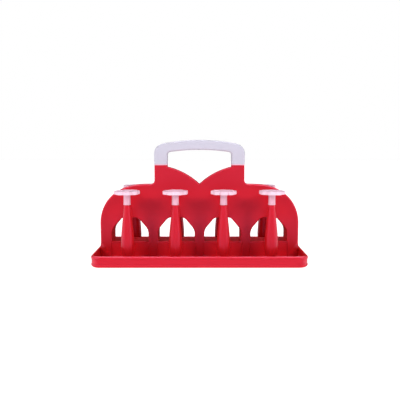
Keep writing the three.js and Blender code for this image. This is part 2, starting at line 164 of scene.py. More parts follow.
class HandleSizes(bpy.types.PropertyGroup):
    """The carrying handle."""

    inner_half: length("Inner half width", "Half width of the grip opening", 59.5)
    shoulder_x: length("Shoulder reach", "Where the outer corner meets the crown", 62)
    shoulder_top: length("Shoulder top", "Height of the crown over the corners", 216.4)
    corner_start: length("Corner start", "Height where a leg begins to turn", 195)
    crown_under: length("Grip underside", "Underside of the grip at its middle", 203.3)
    corner_under: length("Corner underside", "Underside of the grip at its ends", 198.7)
    inner_corner: length("Inner corner", "Rounding inside the grip opening", 5)
    edge_round: length("Edge round", "Rounding of the handle's edges", 3.6)


class PegSizes(bpy.types.PropertyGroup):
    """The bowling-pin peg."""

    foot_radius: length("Foot radius", "Radius where a peg meets its pad", 8.6)
    bulge_height: length("Bulge height", "Height of the widest part", 33)
    shoulder: length("Shoulder", "Height that the cap's stem rests on", 106.6)
    shoulder_radius: length("Shoulder radius", "Radius just under the cap", 5.5)
    spigot_radius: length("Spigot radius", "Radius of the pin inside the cap", 3.6)
    sides: count("Sides", "Steps round a peg", 56, 12)


class CapSizes(bpy.types.PropertyGroup):
    """The flower cap."""

    stem_radius: length("Stem radius", "Radius of the stem", 6.2)
    bore_radius: length("Bore radius", "Radius of the stem's socket", 4.2)
    bore_top: length("Bore top", "Height where the socket ends", 122.6)
    disc_bottom: length("Disc underside", "Height of the flower's underside", 126.1)
    petal_depth: length("Petal depth", "Depth of the notches between petals", 3.8)
    rim_round: length("Rim rounding", "Rounding of the flower's rims", 0.6)
    rim_width: length("Rim width", "Width of the raised rim round the top", 1.5)
    rim_height: length("Rim height", "How far the top is sunk inside its rim", 0.8)
    hub_radius: length("Hub radius", "Radius of the button in the middle", 6.4)
    rib_length: length("Rib length", "Length of the rib on each petal", 13.5)
    rib_width: length("Rib width", "Width of a rib", 1.3)
    rib_height: length("Rib height", "Height of a rib, with its sunk part", 1.2)
    rib_reach: length("Rib reach", "Distance from the hub's middle to a rib's", 12.6)
    rib_drop: length("Rib drop", "Depth of a rib's middle below the flower's top", 1.05)
    petals: count("Petals", "Number of petals", 8, 3)
    petal_steps: count("Petal steps", "Points along a petal", 10, 4)


class ScrewSizes(bpy.types.PropertyGroup):
    """The pan-head screws."""

    head_radius: length("Head radius", "Radius of a screw's head", 3.6)
    head_height: length("Head height", "Height of a screw's head", 2.2)
    shank: length("Shank radius", "Radius of a screw's shank", 1.75)
    slot_arm: length("Cross arm", "Half length of the cross recess", 2.0)
    slot_half: length("Cross half width", "Half width of the cross recess", 0.45)
    slot_depth: length("Cross depth", "Depth of the cross recess", 1.2)
    counterbore: length("Counterbore", "Radius of the sunk holes behind the panel", 4.1)


class Colours(bpy.types.PropertyGroup):
    """The rack's colours."""

    red: colour("Red", "Tray, panel and pegs", (0.54, 0.0074, 0.0115))
    red_deep: colour("Deep red", "Broad darker drift in the red", (0.49, 0.0058, 0.0090))
    red_sheen: colour("Red sheen", "Tint of reflections on the red", (1.0, 0.42, 0.90))
    pale_sheen: colour("Pale sheen", "Tint of reflections on white and pink", (0.95, 0.92, 1.0))
    white: colour("White", "Handle", (0.49, 0.485, 0.585))
    white_warm: colour("Warm white", "Drift in the handle", (0.515, 0.48, 0.57))
    cap: colour("Cap", "Flower caps", (0.76, 0.48, 0.60))
    cap_pale: colour("Pale cap", "Drift in the flower caps", (0.79, 0.54, 0.655))
    # The colour below darkens and reddens each cap under its flower: partly painted shade under the
    # flower, partly the red spigot showing through the stem.
    stem: colour("Stem", "Cap stems, where the red spigot shows through", (0.64, 0.36, 0.45))
    # The colour below is a painted pinkish highlight along the handle's foot, next to the red stub.
    foot_highlight: colour("Joint", "Handle's foot, where the red stub shows", (0.80, 0.40, 0.52))
    steel: colour("Steel", "Screws", (0.55, 0.56, 0.58))
    tarnish: colour("Tarnish", "Dull spots on the screws", (0.32, 0.31, 0.29))
    rubber: colour("Rubber", "Feet", (0.045, 0.045, 0.048))
    dust: colour("Dust", "Dust in the rubber's grain", (0.20, 0.19, 0.18))
    floor: colour("Floor", "Studio floor", (0.90, 0.90, 0.90))


class StageSizes(bpy.types.PropertyGroup):
    """Camera and lights."""

    camera_distance: length("Camera distance", "Camera to the panel's middle, level", 988.5)
    camera_height: length("Camera height", "Camera above the table", 226.1)
    aim_x: length("Aim across", "Where the camera points, across", 1.0)
    pitch: degrees("Pitch", "How far the camera looks down", 6.77)
    lens: FloatProperty(name="Lens", description="Focal length in mm", default=47.385, min=1.0)
    light_azimuth: degrees("Light azimuth", "Each lamp's angle from the front", 50)
    light_elevation: degrees("Light elevation", "Each lamp's angle above the table", 27)
    light_distance: length("Light distance", "Lamp to the rack's middle", 1500)
    light_aim: length("Light aim", "Height that every lamp points at", 90)
    light_size: length("Light size", "Side of each square lamp", 340)
    light_power: watts("Light power", "Watts for each lamp", 7.9)
    front_elevation: degrees("Front elevation", "The wide front lamp's angle above the table", 10)
    front_size: length("Front size", "Side of the wide front lamp", 1000)
    front_power: watts("Front power", "Watts for the wide front lamp", 5.4)
    fill: brightness("Fill", "Light from all round", 0.06)
    fill_top: brightness("Top fill", "Light added from overhead", 0.30)
    mirror_fill: brightness("Mirror fill", "Brightness that gloss sees all round", 0.03)
    mirror_top: brightness("Mirror top", "Brightness that gloss sees overhead", 8.5)
    mirror_side: brightness("Mirror side", "Brightness that gloss sees to each side", 1.9)
    mirror_table: brightness("Mirror table", "Brightness that gloss sees low in front", 0.5)
    floor_glow: brightness("Floor glow", "Light that the floor gives out itself", 0.85)


class RackSettings(bpy.types.PropertyGroup):
    """Every group of sizes and colours that the rack is built from."""

    tray: PointerProperty(type=TraySizes, name="Tray", description="Drip tray")
    panel: PointerProperty(type=PanelSizes, name="Panel", description="Centre panel")
    handle: PointerProperty(type=HandleSizes, name="Handle", description="Carrying handle")
    peg: PointerProperty(type=PegSizes, name="Peg", description="Pegs")
    cap: PointerProperty(type=CapSizes, name="Cap", description="Flower caps")
    screw: PointerProperty(type=ScrewSizes, name="Screw", description="Screws")
    colours: PointerProperty(type=Colours, name="Colours", description="Colours")
    stage: PointerProperty(type=StageSizes, name="Stage", description="Camera and lights")


def settings():
    """The rack's settings on the open scene."""
    return bpy.context.scene.peg_rack


# ---------------- shader graphs


class Wire:
    """A node's output, on which arithmetic adds Math nodes."""

    def __init__(self, graph, socket):
        self.graph = graph
        self.socket = socket

    def math(self, operation, first, second):
        """A Math node on two values."""
        return self.graph.node("ShaderNodeMath", {"operation": operation}, {0: first, 1: second})

    def __add__(self, other):
        return self.math("ADD", self, other)

    def __radd__(self, other):
        return self.math("ADD", other, self)

    def __sub__(self, other):
        return self.math("SUBTRACT", self, other)

    def __rsub__(self, other):
        return self.math("SUBTRACT", other, self)

    def __mul__(self, other):
        return self.math("MULTIPLY", self, other)

    def __rmul__(self, other):
        return self.math("MULTIPLY", other, self)


class Graph:
    """The node tree of one new material or world."""

    def __init__(self, owner):
        owner.use_nodes = True
        self.tree = owner.node_tree
        self.tree.nodes.clear()

    def node(self, kind, options=None, inputs=None, output=0):
        """Adds a node: its options are set first, then its sockets are set or linked."""
        made = self.tree.nodes.new(kind)
        for key, value in (options or {}).items():
            if key == "stops":
                self.set_stops(made.color_ramp, value)
            else:
                setattr(made, key, value)
        for key, value in (inputs or {}).items():
            if isinstance(value, Wire):
                self.tree.links.new(value.socket, made.inputs[key])
            else:
                made.inputs[key].default_value = value
        return Wire(self, made.outputs[output]) if made.outputs else made

    def set_stops(self, ramp, stops):
        """Places a ramp's stops, each a position and a grey level."""
        while len(ramp.elements) < len(stops):
            ramp.elements.new(0.5)
        for element, (position, level) in zip(ramp.elements, stops):
            element.position = position
            element.color = (level, level, level, 1.0)

    def mix(self, factor, first, second):
        """A blend of two colours."""
        return self.node(
            "ShaderNodeMix", {"data_type": "RGBA"}, {0: factor, 6: first, 7: second}, output=2
        )

    def ramp(self, value, stops):
        """A value shaped by a grey ramp."""
        return self.node("ShaderNodeValToRGB", {"stops": stops}, {0: value})

    def noise(self, vector, scale, detail=2.0, roughness=0.5):
        """Noise between 0 and 1."""
        return self.node(
            "ShaderNodeTexNoise",
            {"noise_dimensions": "3D"},
            {"Vector": vector, "Scale": scale, "Detail": detail, "Roughness": roughness},
        )

    def fade(self, value, start, end):
        """0 at the start value and 1 at the end value, eased between."""
        return self.node(
            "ShaderNodeMapRange", {"interpolation_type": "SMOOTHSTEP"},
            {0: value, 1: start, 2: end, 3: 0.0, 4: 1.0},
        )

    def stretched(self, vector, scale):
        """Coordinates scaled differently along each axis."""
        return self.node("ShaderNodeMapping", {}, {"Vector": vector, "Scale": scale})

    def along(self, vector, axis):
        """One coordinate of a vector."""
        return self.node("ShaderNodeSeparateXYZ", {}, {0: vector}, output=axis)

    def bump(self, strength, depth, height):
        """Small relief, in the shading only."""
        return self.node(
            "ShaderNodeBump", {}, {"Strength": strength, "Distance": depth, "Height": height}
        )

    def surface(self, inputs):
        """Ends a material's graph in one shader."""
        shader = self.node("ShaderNodeBsdfPrincipled", {}, inputs)
        self.node("ShaderNodeOutputMaterial", {}, {"Surface": shader})


def new_material(name):
    """A new material, its graph and the coordinates that its patterns read."""
    material = bpy.data.materials.new(name)
    graph = Graph(material)
    return material, graph, graph.node("ShaderNodeTexCoord", output="Object")


def rgba(rgb):
    """A colour property with its alpha."""
    return (*rgb, 1.0)


def moulded_plastic(name, main, drift, gloss, peel, sheen, painted_foot_tone=None):
    """Injection-moulded plastic: slow colour drift, flow marks, orange peel and hair scratches.

    The painted foot tone paints light and shade round a piece's foot (the handle's pinkish
    highlight, the shade under each cap's flower): a colour, the height up to which it is full and
    the height where it ends.
    """
    material, graph, place = new_material(name)
    cloud = graph.noise(place, 14.0, detail=3.0)
    flow = graph.noise(graph.stretched(place, (9.0, 60.0, 60.0)), 2.2, detail=4.0, roughness=0.6)
    grain = graph.noise(place, 1500.0, detail=1.0)
    dimple = graph.noise(place, 240.0)
    hairs = graph.noise(graph.stretched(place, (60.0, 900.0, 1100.0)), 1.4, detail=3.0)
    scratch = graph.ramp(hairs, [(0.66, 0.0), (0.72, 1.0)])
    drift_and_foot_paint = graph.mix(cloud * 0.7 + flow * 0.3, rgba(main), rgba(drift))
    # Painted light and shade: below the given height the colour turns to the painted foot tone.
    if painted_foot_tone:
        tint, full, gone = painted_foot_tone
        painted_foot_mask = graph.fade(graph.along(place, "Z"), gone, full)
        drift_and_foot_paint = graph.mix(painted_foot_mask, drift_and_foot_paint, rgba(tint))
    height = dimple * 0.7 + grain * 0.2 + flow * 0.3 - scratch * 0.25
    graph.surface({
        "Base Color": drift_and_foot_paint,
        "Roughness": gloss + cloud * 0.06 + flow * 0.05 + scratch * 0.08,
        "Normal": graph.bump(peel, 0.25 * MM, height),
        "IOR": 1.46,
        "Specular Tint": rgba(sheen),
    })
    return material


def zinc_steel(name, main, tarnish):
    """Zinc-plated steel with turning marks and a few dull spots."""
    material, graph, place = new_material(name)
    marks = graph.noise(graph.stretched(place, (400.0, 400.0, 3000.0)), 1.0, detail=3.0)
    spots = graph.ramp(graph.noise(place, 700.0), [(0.55, 0.0), (0.7, 1.0)])
    graph.surface({
        "Base Color": graph.mix(spots * 0.5, rgba(main), rgba(tarnish)),
        "Metallic": 1.0,
        "Roughness": 0.28 + marks * 0.12 + spots * 0.2,
        "Normal": graph.bump(0.2, 0.05 * MM, marks),
    })
    return material


def foot_rubber(name, main, dust):
    """Dull black rubber with dust in its grain."""
    material, graph, place = new_material(name)
    grain = graph.noise(place, 1800.0)
    dusty = graph.ramp(graph.noise(place, 160.0, detail=4.0), [(0.45, 0.0), (0.8, 1.0)])
    graph.surface({
        "Base Color": graph.mix(dusty * 0.35, rgba(main), rgba(dust)),
        "Roughness": 0.78 + grain * 0.15,
        "Normal": graph.bump(0.4, 0.1 * MM, grain),
    })
    return material


def studio_floor(name, main, glow):
    """A matt pale sweep with the faintest mottling, which glows a little itself."""
    material, graph, place = new_material(name)
    mottle = graph.noise(place, 3.0)
    graph.surface({
        "Base Color": graph.mix(mottle * 0.3, rgba(main), rgba([level * 0.98 for level in main])),
        "Roughness": 0.9,
        "Specular IOR Level": 0.1,
        "Emission Color": (1.0, 1.0, 1.0, 1.0),
        "Emission Strength": glow,
    })
    return material


def material_for(slot):
    """The material of one finish, made the first time that it is asked for."""
    name = slot + "_finish"
    made = bpy.data.materials.get(name)
    if made:
        return made
    tints = settings().colours
    if slot == "red_plastic":
        return moulded_plastic(name, tints.red, tints.red_deep, 0.30, 0.10, tints.red_sheen)
    if slot == "white_plastic":
        # Painted highlight: the handle turns pinkish for a few millimetres above its foot, next to
        # the red stub.
        seam = SHELL_HIGH.z
        tint = (tints.foot_highlight, seam + 0.4 * MM, seam + 3.2 * MM)
        return moulded_plastic(
            name, tints.white, tints.white_warm, 0.38, 0.12, tints.pale_sheen, tint
        )
    if slot == "cap_plastic":
        # Below the flower the cap takes the stem colour: partly painted shade under the flower,
        # partly the red spigot showing through.
        under = settings().cap.disc_bottom
        tint = (tints.stem, under - 0.8 * MM, under + 0.8 * MM)
        return moulded_plastic(
            name, tints.cap, tints.cap_pale, 0.36, 0.12, tints.pale_sheen, tint
        )
    if slot == "screw_steel":
        return zinc_steel(name, tints.steel, tints.tarnish)
    if slot == "foot_rubber":
        return foot_rubber(name, tints.rubber, tints.dust)
    return studio_floor(name, tints.floor, settings().stage.floor_glow)


# ---------------- mesh helpers


def ring_face(bm, points):
    """One face round a closed outline of (x, z) points on the mid-plane."""
    return bm.faces.new([bm.verts.new((x, 0.0, z)) for x, z in points])


def arc_points(start, pull_a, pull_b, end, steps):
    """Points along a curve between two (x, z) places, without the first one."""
    knots = [Vector((x, 0.0, z)) for x, z in (start, pull_a, pull_b, end)]
    return [(p.x, p.z) for p in interpolate_bezier(*knots, steps + 1)[1:]]


def mirrored_outline(right):
    """A right-hand outline, listed from the base upwards, closed with its mirror image."""
    return right + [(-x, z) for x, z in reversed(right) if x > 1e-9]


def round_corners(bm, corners, radius):
    """Rounds the corners of flat faces."""
    bmesh.ops.bevel(
        bm, geom=corners, offset=radius, offset_type="OFFSET", segments=CORNER_STEPS, profile=0.5,
        affect="VERTICES", clamp_overlap=True, material=-1,
    )


def round_edges(bm, edges, radius, segments):
    """Rounds edges between faces."""
    bmesh.ops.bevel(
        bm, geom=edges, offset=radius, offset_type="OFFSET", segments=segments, profile=0.5,
        affect="EDGES", clamp_overlap=False, material=-1,
    )


def verts_in(items):
    """The vertices among an operator's results."""
    return [item for item in items if isinstance(item, bmesh.types.BMVert)]


def draw_out(bm, edges, travel=(0.0, 0.0, 0.0)):
    """Extrudes edges by a distance: the new vertices, and the new edges between them."""
    made = bmesh.ops.extrude_edge_only(bm, edges=edges)["geom"]
    verts = verts_in(made)
    moved = set(verts)
    ends = [
        item for item in made
        if isinstance(item, bmesh.types.BMEdge) and set(item.verts) <= moved
    ]
    bmesh.ops.translate(bm, verts=verts, vec=travel)
    return verts, ends


def corners_at(face, places):
    """The face's vertices at the given (x, z) places."""
    return [
        v for v in face.verts
        if any(math.hypot(v.co.x - x, v.co.z - z) < 0.01 * MM for x, z in places)
    ]


def turned(bm, profile, centre, sides):
    """Turns a profile of (radius, height) points about the upright axis through centre."""
    verts = [bm.verts.new((centre[0] + r, centre[1], z)) for r, z in profile]
    edges = [bm.edges.new(pair) for pair in zip(verts, verts[1:])]
    bmesh.ops.spin(
        bm, geom=verts + edges, cent=(centre[0], centre[1], 0.0), axis=(0.0, 0.0, 1.0),
        angle=math.tau, steps=sides, use_merge=True,
    )
    bmesh.ops.remove_doubles(bm, verts=bm.verts[:], dist=0.002 * MM)


def outward(bm):
    """Merges doubles and turns every face outwards."""
    bmesh.ops.remove_doubles(bm, verts=bm.verts[:], dist=0.002 * MM)
    bmesh.ops.recalc_face_normals(bm, faces=bm.faces[:])


def add_object(name, data):
    """A new object on the open scene."""
    made = bpy.data.objects.new(name, data)
    bpy.context.scene.collection.objects.link(made)
    return made


def mesh_of(bm, name, slot):
    """Turns a bmesh into a mesh with one finish."""
    mesh = bpy.data.meshes.new(name)
    bm.to_mesh(mesh)
    bm.free()
    mesh.materials.append(material_for(slot))
    return mesh


def finished_piece(bm, name, slot, body, nodes):
    """Turns a bmesh into a piece that rides on a body and stands for its CAD nodes."""
    mesh = mesh_of(bm, name, slot)
    for polygon in mesh.polygons:
        polygon.use_smooth = True
    mesh.set_sharp_from_angle(angle=SMOOTH_ANGLE)
    piece = add_object(name, mesh)
    weights = piece.modifiers.new("even_shading", "WEIGHTED_NORMAL")
    weights.keep_sharp = True
    weights.weight = 60
    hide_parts(*nodes)
    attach(piece, body)


def centre_of(node):
    """The middle of a CAD node's box."""
    low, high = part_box(node)
    return (low + high) / 2


def peg_names():
    """The labels of the eight peg places."""
    return [f"{row}_{column}" for row in ROWS for column in COLUMNS]


# ---------------- drip tray


def tray_profile():
    """The wall in section, from the floor's underside round the lip to the floor's top.

    Each point is (distance in from the lip's outer face, height), in metres.
    """
    points_mm = [
        (14, 2.5), (6.4, 2.5), (6.4, 0.8), (5.2, 0.8), (3.7, 1.0), (2.4, 1.55), (1.3, 2.45),
        (0.5, 3.6), (0.1, 4.8), (0.0, 5.5), (0.15, 6.1), (0.55, 6.6), (1.0, 6.75), (1.1, 7.3),
        (0.95, 12.0), (0.9, 15.1), (1.0, 15.7), (0.5, 15.95), (0.12, 16.5), (0.0, 17.2),
        (0.12, 18.2), (0.5, 19.2), (1.1, 20.05), (1.95, 20.75), (2.9, 21.15), (3.9, 21.3),
        (4.9, 21.25), (5.5, 20.95), (5.9, 20.4), (6.05, 19.4), (6.5, 8.4), (6.9, 6.6),
        (7.8, 5.5), (9.2, 5.0), (14, 5.0),
    ]
    return [(across * MM, up * MM) for across, up in points_mm]


def swept_wall(bm, sizes):
    """Draws the wall's section once round the tray: straight along a side, turned at a corner."""
    end_x, end_y = TRAY_HIGH.x - sizes.corner, TRAY_HIGH.y - sizes.corner
    verts = [bm.verts.new((TRAY_HIGH.x - across, -end_y, up)) for across, up in tray_profile()]
    section = [bm.edges.new(pair) for pair in zip(verts, verts[1:])]
    for travel, corner in (
        ((0.0, 2 * end_y, 0.0), (end_x, end_y)), ((-2 * end_x, 0.0, 0.0), (-end_x, end_y)),
        ((0.0, -2 * end_y, 0.0), (-end_x, -end_y)), ((2 * end_x, 0.0, 0.0), (end_x, -end_y)),
    ):
        moved, ends = draw_out(bm, section, travel)
        last = bmesh.ops.spin(
            bm, geom=moved + ends, cent=(*corner, 0.0), axis=(0.0, 0.0, 1.0),
            angle=math.pi / 2, steps=TRAY_CORNER_STEPS,
        )["geom_last"]
        section = [item for item in last if isinstance(item, bmesh.types.BMEdge)]
    bmesh.ops.remove_doubles(bm, verts=bm.verts[:], dist=0.01 * MM)


def open_edges_at(bm, height):
    """The boundary edges that lie at one height."""
    return [
        edge for edge in bm.edges
        if edge.is_boundary and all(abs(v.co.z - height) < 0.05 * MM for v in edge.verts)
    ]


def close_underside(bm, sizes):
    """Fills the underside round a sunk pocket for each screw head."""
    pockets = [(f"peg_screw_{label}", sizes.peg_seat) for label in peg_names()]
    pockets += [(node, sizes.panel_seat) for node in PANEL_SCREWS]
    loops = open_edges_at(bm, sizes.floor_under)
    circles = []
    for node, seat in pockets:
        centre = centre_of(node)
        disc = set(bmesh.ops.create_circle(
            bm, cap_ends=False, segments=SCREW_SIDES, radius=sizes.pocket_radius,
            matrix=Matrix.Translation((centre.x, centre.y, sizes.floor_under)),
        )["verts"])
        edges = [edge for edge in bm.edges if set(edge.verts) <= disc]
        circles.append((edges, seat))
        loops += edges
    bmesh.ops.triangle_fill(bm, use_beauty=True, use_dissolve=False, edges=loops)
    for edges, seat in circles:
        _, ends = draw_out(bm, edges, (0.0, 0.0, seat - sizes.floor_under))
        bmesh.ops.contextual_create(bm, geom=ends)


def add_pads(bm, sizes):
    """Raises the round pad that each peg stands on."""
    sunk = sizes.floor_under + 1.0 * MM
    edge = 0.9 * MM
    profile = [
        (0.0, sunk), (sizes.pad_radius + edge, sunk),
        (sizes.pad_radius + edge, sizes.floor_top),
        (sizes.pad_radius + 0.2 * MM, sizes.floor_top + edge),
        (sizes.pad_radius, sizes.pad_top - edge),
        (sizes.pad_radius - 0.3 * edge, sizes.pad_top - 0.3 * edge),
        (sizes.pad_radius - edge, sizes.pad_top), (0.0, sizes.pad_top),
    ]
    for label in peg_names():
        centre = centre_of(f"peg_{label}")
        turned(bm, profile, (centre.x, centre.y), ROUND_SIDES)


def build_tray():
    """The drip tray with its banded wall, floor, pads and screw pockets."""
    sizes = settings().tray
    bm = bmesh.new()
    swept_wall(bm, sizes)
    floor = bmesh.ops.contextual_create(bm, geom=open_edges_at(bm, sizes.floor_top))["faces"]
    bmesh.ops.inset_region(bm, faces=floor, thickness=2 * MM, use_even_offset=True)
    close_underside(bm, sizes)
    outward(bm)
    add_pads(bm, sizes)
    outward(bm)
    finished_piece(bm, "drip_tray_moulding", "red_plastic", "stand", ["drip_tray"])


# ---------------- centre panel


def panel_outline(sizes):
    """The panel's front outline."""
    end, foot, top = SHELL_HIGH.x, SHELL_LOW.z, SHELL_HIGH.z
    right = [(end, foot), (end, sizes.curve_start)]
    right += arc_points(
        (end, sizes.curve_start), (end, sizes.curve_start + sizes.curve_up),
        (sizes.shoulder_end + sizes.curve_out, sizes.shoulder),
        (sizes.shoulder_end, sizes.shoulder), 28,
    )
    right += [(sizes.neck, sizes.shoulder), (sizes.neck, top), (sizes.stub_inner, top)]
    right += [(sizes.stub_inner, sizes.vee_top)]
    slope = Vector((-sizes.stub_inner, sizes.vee_bottom - sizes.vee_top))
    bow = Vector((-slope.y, slope.x)).normalized() * (-sizes.vee_bulge * 4 / 3)
    start = Vector((sizes.stub_inner, sizes.vee_top))
    pulls = [start + slope * share + bow for share in (1 / 3, 2 / 3)]
    right += arc_points(start, pulls[0], pulls[1], (0.0, sizes.vee_bottom), 14)
    return mirrored_outline(right)


def window_face(bm, sizes, x):
    """One arched window as a face, with its corners rounded."""
    knees = [(x + sizes.window_half, sizes.knee), (x - sizes.window_half, sizes.knee)]
    heads = [(x + sizes.head_half, sizes.head), (x - sizes.head_half, sizes.head)]
    face = ring_face(bm, [
        (x - sizes.window_half, sizes.sill), (x + sizes.window_half, sizes.sill),
        knees[0], heads[0], heads[1], knees[1],
    ])
    knee_corners, head_corners = corners_at(face, knees), corners_at(face, heads)
    round_corners(bm, knee_corners, sizes.knee_round)
    round_corners(bm, head_corners, sizes.head_round)


def window_centres():
    """The windows line up with the pegs."""
    return [centre_of(f"peg_front_{column}").x for column in COLUMNS]


def screw_holes():
    """Holes in the rear face for the sunk screws: (x, z, radius)."""
    middles = [centre_of(node) for node in SHELL_SCREWS]
    return [(middle.x, middle.z, settings().screw.counterbore) for middle in middles]


def cut(bm, faces, place, normal):
    """Splits faces along a plane through a place."""
    edges = dict.fromkeys(edge for face in faces for edge in face.edges)
    verts = dict.fromkeys(vert for face in faces for vert in face.verts)
    bmesh.ops.bisect_plane(
        bm, geom=[*verts, *edges, *faces], dist=0.001 * MM, plane_co=place, plane_no=normal
    )


def divide_face(bm, sizes):
    """Splits the flat face into upright columns, and a lowest strip round each recess."""
    columns = sorted(window_centres())
    for x in columns:
        cut(bm, bm.faces[:], (x, 0.0, 0.0), (1.0, 0.0, 0.0))
    cut(bm, bm.faces[:], (0.0, 0.0, sizes.recess_top), (0.0, 0.0, 1.0))
    uprights = sorted(x + side * sizes.recess_half for x in columns for side in (-1, 1))
    for x in uprights:
        low = [f for f in bm.faces if f.calc_center_median().z < sizes.recess_top]
        cut(bm, low, (x, 0.0, 0.0), (1.0, 0.0, 0.0))
    cells = {}
    for face in bm.faces:
        middle = face.calc_center_median()
        low = middle.z < sizes.recess_top
        key = (low, sum(middle.x > x for x in (uprights if low else columns)))
        cells.setdefault(key, []).append(face)
    for faces in cells.values():
        bmesh.ops.dissolve_faces(bm, faces=faces, use_verts=False)


def sink_recesses(bm, sizes):
    """Sinks the face under each sill, inside a narrow bevelled border."""
    faces = []
    for face in bm.faces:
        middle = face.calc_center_bounds()
        if middle.z < sizes.recess_top and any(
            abs(middle.x - x) < 5 * MM for x in window_centres()
        ):
            faces.append(face)
    bmesh.ops.inset_region(
        bm, faces=faces, thickness=0.7 * MM, depth=-sizes.recess_depth,
        use_boundary=True, use_even_offset=True,
    )


def eased_past(distance, soft):
    """How far past a bend, with the bend itself spread over a soft stretch each side."""
    if abs(distance) > soft:
        return max(distance, 0.0)
    return (distance + soft) ** 2 / (4 * soft)


def half_depth(sizes, height):
    """Half the panel's thickness at a height: straight, then a soft taper up to the neck."""
    rise = eased_past(height - sizes.taper_start, sizes.taper_soft)
    rise -= eased_past(height - sizes.shoulder, sizes.taper_soft)
    share = rise / (sizes.shoulder - sizes.taper_start)
    return -SHELL_LOW.y + (sizes.top_half_depth + SHELL_LOW.y) * share


def taper(bm, sizes):
    """Slices the blocked-out half level by level, then draws its outer face in."""
    steps = 24
    low = sizes.taper_start - sizes.taper_soft
    rise = (sizes.shoulder + sizes.taper_soft - low) / steps
    for step in range(steps + 1):
        cut(bm, bm.faces[:], (0.0, 0.0, low + step * rise), (0.0, 0.0, 1.0))
    for v in bm.verts:
        if v.co.y < -sizes.top_half_depth:
            v.co.y += -SHELL_LOW.y - half_depth(sizes, v.co.z)
    broad = [f for f in bm.faces if len(f.verts) > 4]
    bmesh.ops.triangulate(bm, faces=broad, quad_method="BEAUTY", ngon_method="BEAUTY")


def panel_shell(sizes, side):
    """One half of the panel, from its outer face to just short of the mid-plane."""
    bm = bmesh.new()
    outline = ring_face(bm, panel_outline(sizes))
    necks = [(s * sizes.neck, sizes.shoulder) for s in (-1, 1)]
    round_corners(bm, corners_at(outline, necks), sizes.neck_fillet)
    for x in window_centres():
        window_face(bm, sizes, x)
    bmesh.ops.delete(bm, geom=bm.faces[:], context="FACES_ONLY")
    if side > 0:
        for x, z, radius in screw_holes():
            bmesh.ops.create_circle(
                bm, cap_ends=False, segments=HOLE_SIDES, radius=radius,
                matrix=Matrix.Translation((x, 0.0, z)) @ Matrix.Rotation(math.pi / 2, 4, "X"),
            )
    bmesh.ops.triangle_fill(bm, use_beauty=True, use_dissolve=False, edges=bm.edges[:])
    divide_face(bm, sizes)
    for face in bm.faces:
        face.normal_update()
        if face.normal.y > 0:
            face.normal_flip()
    bmesh.ops.translate(bm, verts=bm.verts[:], vec=(0.0, SHELL_LOW.y, 0.0))
    sink_recesses(bm, sizes)
    for v in verts_in(bmesh.ops.extrude_face_region(bm, geom=bm.faces[:])["geom"]):
        v.co.y = -SEAM_GAP / 2
    outward(bm)
    round_panel_edges(bm, sizes)
    taper(bm, sizes)
    if side > 0:
        bmesh.ops.scale(bm, verts=bm.verts[:], vec=(1.0, -1.0, 1.0))
        bmesh.ops.reverse_faces(bm, faces=bm.faces[:])
    return bm


def round_panel_edges(bm, sizes):
    """Rounds the outer edges, the window edges and the parting line, each by its own amount."""
    outer, inner, parting = [], [], []
    top, foot = SHELL_HIGH.z - 0.1 * MM, TRAY_HIGH.z + 1 * MM
    for edge in bm.edges:
        if len(edge.link_faces) != 2:
            continue
        tilt = sorted(face.normal.y for face in edge.link_faces)
        middle = (edge.verts[0].co + edge.verts[1].co) / 2
        if tilt[0] < -0.8 and abs(tilt[1]) < 0.3:
            in_window = any(
                abs(middle.x - x) < sizes.window_half + 0.3 * MM for x in window_centres()
            ) and sizes.sill - 0.3 * MM < middle.z < sizes.head + 0.3 * MM
            screw_hole = any(
                math.hypot(middle.x - x, middle.z - z) < radius + 0.3 * MM
                for x, z, radius in screw_holes()
            )
            if in_window or screw_hole:
                inner.append(edge)
            elif foot < middle.z < top:
                outer.append(edge)
        elif tilt[1] > 0.8 and abs(tilt[0]) < 0.3:
            parting.append(edge)
    round_edges(bm, outer, sizes.edge_round, segments=5)
    round_edges(bm, [e for e in inner if e.is_valid], sizes.window_round, segments=3)
    round_edges(bm, [e for e in parting if e.is_valid], 0.25 * MM, segments=1)


def build_panel():
    """The front and rear shells."""
    sizes = settings().panel
    for name, side in (("front_shell", -1), ("rear_shell", 1)):
        bm = panel_shell(sizes, side)
        finished_piece(bm, name + "_moulding", "red_plastic", "stand", [name])


# ---------------- handle


def handle_outline(sizes):
    """The handle's front outline, from one foot over the grip to the other and back."""
    foot = SHELL_HIGH.z + SEAM_GAP
    half, top = HANDLE_HIGH.x, HANDLE_HIGH.z
    corner_top = sizes.shoulder_top - 2 * MM
    outside = [(half, foot), (half, sizes.corner_start)]
    outside += arc_points(
        (half, sizes.corner_start), (half, sizes.corner_start + 14 * MM),
        (sizes.shoulder_x + 13 * MM, corner_top), (sizes.shoulder_x, sizes.shoulder_top), 12,
    )
    outside += arc_points(
        (sizes.shoulder_x, sizes.shoulder_top), (sizes.shoulder_x * 2 / 3, top - 1.8 * MM),
        (sizes.shoulder_x / 3, top), (0.0, top), 10,
    )
    inner = sizes.inner_half
    inside = [(inner, foot), (inner, sizes.corner_under)]
    inside += arc_points(
        (inner, sizes.corner_under), (inner * 2 / 3, sizes.crown_under - 1.4 * MM),
        (inner / 3, sizes.crown_under), (0.0, sizes.crown_under), 10,
    )
    return mirrored_outline(outside) + mirrored_outline(inside)[::-1]


